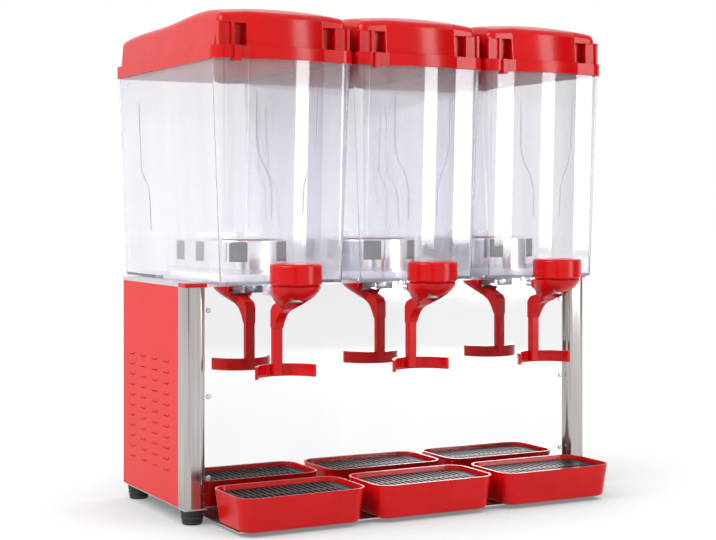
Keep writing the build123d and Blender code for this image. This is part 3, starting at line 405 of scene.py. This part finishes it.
# Painted shade: the raised lines use a darker copy of the tank's clear plastic so that they read as dark
# lines.
ridge_plastic_painted_shade = finish(
    "ridge_polycarbonate_painted_shade", dark=(0.76, 0.76, 0.8), light=(0.84, 0.84, 0.88), rough=(0.05, 0.12),
    broad=30, fine=60, bump=0.1, stretch=(1, 1, 0.05),
)
for material, share in ((polycarbonate, 0.91), (ridge_plastic_painted_shade, 0.9)):
    shader = material.node_tree.nodes["Principled BSDF"]
    shader.inputs["Transmission Weight"].default_value = share
    shader.inputs["IOR"].default_value = 1.5
tree = polycarbonate.node_tree
let_through = tree.nodes.new("ShaderNodeBsdfTransparent")
let_through.inputs["Color"].default_value = (0.92, 0.92, 0.94, 1)
ray_kind = tree.nodes.new("ShaderNodeLightPath")
clear_wall = tree.nodes.new("ShaderNodeMixShader")
tree.links.new(ray_kind.outputs["Is Shadow Ray"], clear_wall.inputs["Fac"])
tree.links.new(tree.nodes["Principled BSDF"].outputs["BSDF"], clear_wall.inputs[1])
tree.links.new(let_through.outputs["BSDF"], clear_wall.inputs[2])
tree.links.new(clear_wall.outputs["Shader"], tree.nodes["Material Output"].inputs["Surface"])
depth_tint = tree.nodes.new("ShaderNodeVolumeAbsorption")
depth_tint.inputs["Color"].default_value = (0.74, 0.74, 0.8, 1)
depth_tint.inputs["Density"].default_value = 28.0
tree.links.new(depth_tint.outputs["Volume"], tree.nodes["Material Output"].inputs["Volume"])
rim_z, half_width, front_y = 0.626, 0.10065, -0.1685
draft = 0.0116 / 0.304
bow_radius, bow_half_width, bow_centre = 0.138, 0.054, 0.127
front_line = (
    (0.044, 0.575), (0.044, 0.54), (0.0435, 0.51), (0.039, 0.489),
    (0.028, 0.468), (0.0235, 0.45), (0.0225, 0.41),
)
side_line = (
    (0.13, 0.575), (0.13, 0.52), (0.129, 0.476), (0.117, 0.466),
    (0.102, 0.451), (0.098, 0.435), (0.097, 0.39),
)
ridge_section = ((-0.0011, -0.0006), (-0.0008, 0.0003), (0, 0.0006), (0.0008, 0.0003), (0.0011, -0.0006))


def wall_front(dx, z):
    """Front of a tank's outer wall, dx from its middle at height z."""
    bow = math.sqrt(bow_radius ** 2 - min(abs(dx), bow_half_width) ** 2) - bow_centre
    return front_y + draft * (rim_z - z) - bow


def wall_side(z):
    """Half of a tank's outer width at height z."""
    return half_width - draft * (rim_z - z)


def moulded_line(bm, route, out):
    """A low rounded ridge along points on a wall that faces out."""
    across = Vector(out).cross(Vector((0, 0, 1)))
    tube(bm, [[Vector(spot) + across * w + Vector(out) * h for w, h in ridge_section] for spot in route])


for i, x in enumerate(tank_xs, 1):
    dress(polycarbonate, f"tank_{i}")
    bm = bmesh.new()
    for side in (-1, 1):
        moulded_line(bm, [(x + side * dx, wall_front(dx, z), z) for dx, z in front_line], (0, -1, 0))
        moulded_line(bm, [(x + side * wall_side(z), y, z) for y, z in side_line], (side, 0, 0))
    piece(f"tank_lines_{i}", bm, ridge_plastic_painted_shade, f"tank_{i}", sharp=80)

# Taps: two steel pins and a steel return spring in each clear tap body, a white plunger and a red lever.
# A cup pushes the crescent back, the cap tips forward and presses the plunger down.
# The spring is wound from one wire, and the plunger's head squeezes it.
wire, coil, turns, travel = 0.0008, 0.0105, 3.0, 0.0062
winding_steps = 84
for i, x in enumerate(tank_xs, 1):
    dress(screw_steel, f"tap_pins_{i}")
    dress(red_plastic, f"tap_lever_{i}")
    low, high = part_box(f"tap_spring_{i}")
    valve_y = (low[1] + high[1]) / 2
    free = high[2] - low[2]
    bm = bmesh.new()
    start = Matrix.Translation((x + coil, valve_y, low[2] + wire)) @ Matrix.Rotation(math.radians(90), 4, "X")
    bmesh.ops.create_circle(bm, segments=10, radius=wire, matrix=start)
    bmesh.ops.spin(
        bm, geom=bm.verts[:] + bm.edges[:], cent=(x, valve_y, 0), axis=(0, 0, 1), angle=turns * 2 * math.pi,
        steps=winding_steps, dvec=(0, 0, (free - 2 * wire) / winding_steps),
    )
    bmesh.ops.holes_fill(bm, edges=[edge for edge in bm.edges if edge.is_boundary])
    spring = piece(f"return_spring_{i}", bm, screw_steel, f"tank_{i}", sharp=60)
    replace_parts(spring, f"tap_spring_{i}")
    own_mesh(spring)

# Lids: hollow red covers that lap over the tanks' rims, with a crown rising to the bulged front, a ribbed
# notch on each side of it and a clip on the front.
for i in (1, 2, 3):
    dress(red_plastic, f"lid_{i}")

# Drip trays: red basins on the shelf, each with a slotted stainless grille on four pegs.
# The grilles are punched from stainless sheet, coloured near black as painted shade, far darker than bare
# steel.
# Painted shade: the grille steel's colour is kept near black so that the grilles read dark.
grille_steel_painted_shade = finish(
    "stainless_grille_painted_shade", dark=(0.08, 0.08, 0.083), light=(0.15, 0.15, 0.153), rough=(0.3, 0.46),
    broad=30, fine=700, bump=0.06, stretch=(0.05, 1, 1), metallic=1.0,
)
grille_steel_painted_shade.node_tree.nodes["Principled BSDF"].inputs["Specular Tint"].default_value = (0.46, 0.44, 0.44, 1)
for i in (1, 2, 3):
    dress(red_plastic, f"drip_tray_{i}")
    dress(grille_steel_painted_shade, f"tray_grille_{i}")

# Studio: a pale floor that runs to white with a soft shadow under the machine, a white world, a large soft
# key from the left, an upright strip from the front right, and dark cards whose reflections edge the metal.
# Floor and world look bright where they are seen and give off less light than they show.
bpy.ops.mesh.primitive_plane_add(size=40)
floor = bpy.context.object
floor.name = "floor"
floor_white = bpy.data.materials.new("floor_white")
floor_white.use_nodes = True
tree = floor_white.node_tree
tree.nodes.remove(tree.nodes["Principled BSDF"])
matte = tree.nodes.new("ShaderNodeBsdfDiffuse")
matte.inputs["Color"].default_value = (0.8, 0.8, 0.8, 1)
soft = tree.nodes.new("ShaderNodeBsdfDiffuse")
soft.inputs["Color"].default_value = (0.2, 0.2, 0.2, 1)
glow = tree.nodes.new("ShaderNodeEmission")
# Painted shadow: ambient occlusion dims the floor's glow near the machine, on top of the lamps' real shadow
# on the soft diffuse part.
painted_shadow_ao = tree.nodes.new("ShaderNodeAmbientOcclusion")
painted_shadow_ao.samples = 8
painted_shadow_ao.inputs["Distance"].default_value = 0.42
painted_shadow_level = tree.nodes.new("ShaderNodeMapRange")
painted_shadow_level.inputs["From Min"].default_value = 0.1
painted_shadow_level.inputs["To Min"].default_value = 0.2
painted_shadow_level.inputs["To Max"].default_value = 0.95
tree.links.new(painted_shadow_ao.outputs["AO"], painted_shadow_level.inputs["Value"])
tree.links.new(painted_shadow_level.outputs["Result"], glow.inputs["Strength"])
both = tree.nodes.new("ShaderNodeAddShader")
tree.links.new(soft.outputs["BSDF"], both.inputs[0])
tree.links.new(glow.outputs["Emission"], both.inputs[1])


def combine(tree, operation, first, second):
    """Output of a math node on two inputs, each a socket or a number."""
    node = tree.nodes.new("ShaderNodeMath")
    node.operation = operation
    for socket, value in zip(node.inputs, (first, second)):
        if isinstance(value, bpy.types.NodeSocket):
            tree.links.new(value, socket)
        else:
            socket.default_value = value
    return node.outputs[0]


def seen_ray(tree):
    """1 for the rays that show the background: camera and transmission rays, and first reflections."""
    path = tree.nodes.new("ShaderNodeLightPath").outputs
    direct = combine(tree, "LESS_THAN", path["Diffuse Depth"], 0.5)
    reflected = combine(tree, "MULTIPLY", path["Is Glossy Ray"], direct)
    shown = combine(tree, "MAXIMUM", path["Is Camera Ray"], reflected)
    return combine(tree, "MAXIMUM", shown, path["Is Transmission Ray"])


pick = tree.nodes.new("ShaderNodeMixShader")
tree.links.new(seen_ray(tree), pick.inputs["Fac"])
tree.links.new(matte.outputs["BSDF"], pick.inputs[1])
tree.links.new(both.outputs["Shader"], pick.inputs[2])
tree.links.new(pick.outputs["Shader"], tree.nodes["Material Output"].inputs["Surface"])
floor.data.materials.append(floor_white)

world = bpy.data.worlds.new("studio")
bpy.context.scene.world = world
world.use_nodes = True
tree = world.node_tree
backdrop = tree.nodes["Background"]
backdrop.inputs["Color"].default_value = (1, 1, 1, 1)
strength = tree.nodes.new("ShaderNodeMapRange")
strength.inputs["To Min"].default_value = 0.36
strength.inputs["To Max"].default_value = 1.0
tree.links.new(seen_ray(tree), strength.inputs["Value"])
tree.links.new(strength.outputs["Result"], backdrop.inputs["Strength"])


def lamp(name, place, aim, width, height, power):
    """Soft rectangular lamp."""
    data = bpy.data.lights.new(name, "AREA")
    data.shape = "RECTANGLE"
    data.size = width
    data.size_y = height
    data.energy = power
    obj = bpy.data.objects.new(name, data)
    bpy.context.scene.collection.objects.link(obj)
    obj.location = place
    obj.rotation_euler = (Vector(aim) - Vector(place)).to_track_quat("-Z", "Y").to_euler()


lamp("key", place=(-2.5, -0.55, 2.2), aim=(0, 0, 0.35), width=1.8, height=1.8, power=86)
lamp("strip", place=(1.35, -1.85, 0.95), aim=(0, 0, 0.45), width=0.8, height=1.6, power=30)

card_black = finish(
    "card_black", dark=(0.02, 0.02, 0.02), light=(0.03, 0.03, 0.03), rough=(0.7, 0.8),
    broad=2, fine=20, bump=0.0,
)
for name, place, width, height in (
    ("card_right", Vector((1.8, -1.0, 0.75)), 1.3, 1.2),
    ("card_behind", Vector((-1.27, -2.36, 0.45)), 0.5, 1.0),
):
    bm = bmesh.new()
    bmesh.ops.create_grid(bm, x_segments=1, y_segments=1, size=0.5)
    turn = (Vector((0, 0, place.z)) - place).to_track_quat("Z", "Y").to_matrix().to_4x4()
    place_card = Matrix.Translation(place) @ turn @ Matrix.Diagonal((width, height, 1, 1))
    bmesh.ops.transform(bm, matrix=place_card, verts=bm.verts)
    mesh = bpy.data.meshes.new(name)
    bm.to_mesh(mesh)
    bm.free()
    mesh.materials.append(card_black)
    card = bpy.data.objects.new(name, mesh)
    bpy.context.scene.collection.objects.link(card)
    card.visible_camera = False

# Camera: level, turned 28 degrees to see the left side, with a long lens as for a product picture.
# The lens is shifted so that the horizon lies above the middle of the 716 by 540 frame.
frame_width, frame_height = 716, 540
focal_px, horizon_x, horizon_y = 1536, 359.4, 205.9
lens = bpy.data.cameras.new("camera")
lens.sensor_width = 36.0
lens.lens = focal_px * lens.sensor_width / frame_width
lens.shift_x = (frame_width / 2 - horizon_x) / frame_width
lens.shift_y = (horizon_y - frame_height / 2) / frame_width
lens.clip_end = 100
camera = bpy.data.objects.new("camera", lens)
bpy.context.scene.collection.objects.link(camera)
camera.location = (-1.0750, -2.0036, 0.4251)
camera.rotation_euler = (math.radians(90), 0, math.radians(-28))
bpy.context.scene.camera = camera
bpy.context.scene.view_settings.view_transform = "Standard"
